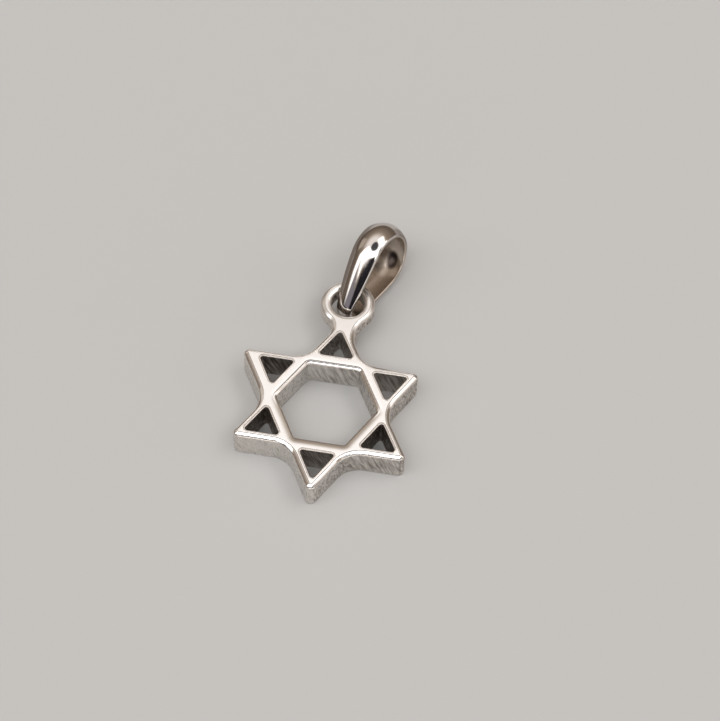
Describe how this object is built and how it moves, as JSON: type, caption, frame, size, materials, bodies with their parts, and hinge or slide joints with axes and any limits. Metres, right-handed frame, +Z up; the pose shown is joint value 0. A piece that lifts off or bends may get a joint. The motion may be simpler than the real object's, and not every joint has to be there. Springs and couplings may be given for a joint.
{
  "type": "star of david pendant",
  "caption": "Pierced six-pointed star pendant with an eye at its top tip and a tapered teardrop bail looped through the eye for a chain.",
  "frame": {"origin": "on the table, under the middle of the box round the whole outline, star and bail", "axes": "+Z up, out of the star's polished front; +Y from the bottom tip to the eye and bail; +X to the right of the star seen from the front"},
  "size_m": [0.0128, 0.0224, 0.0055],
  "materials": {
    "star_silver": "polished cast silver",
    "bail_silver": "high polished pressed silver sheet"
  },
  "bodies": {
    "root": {"star": "star_silver", "bail": "bail_silver"}
  },
  "joints": []
}
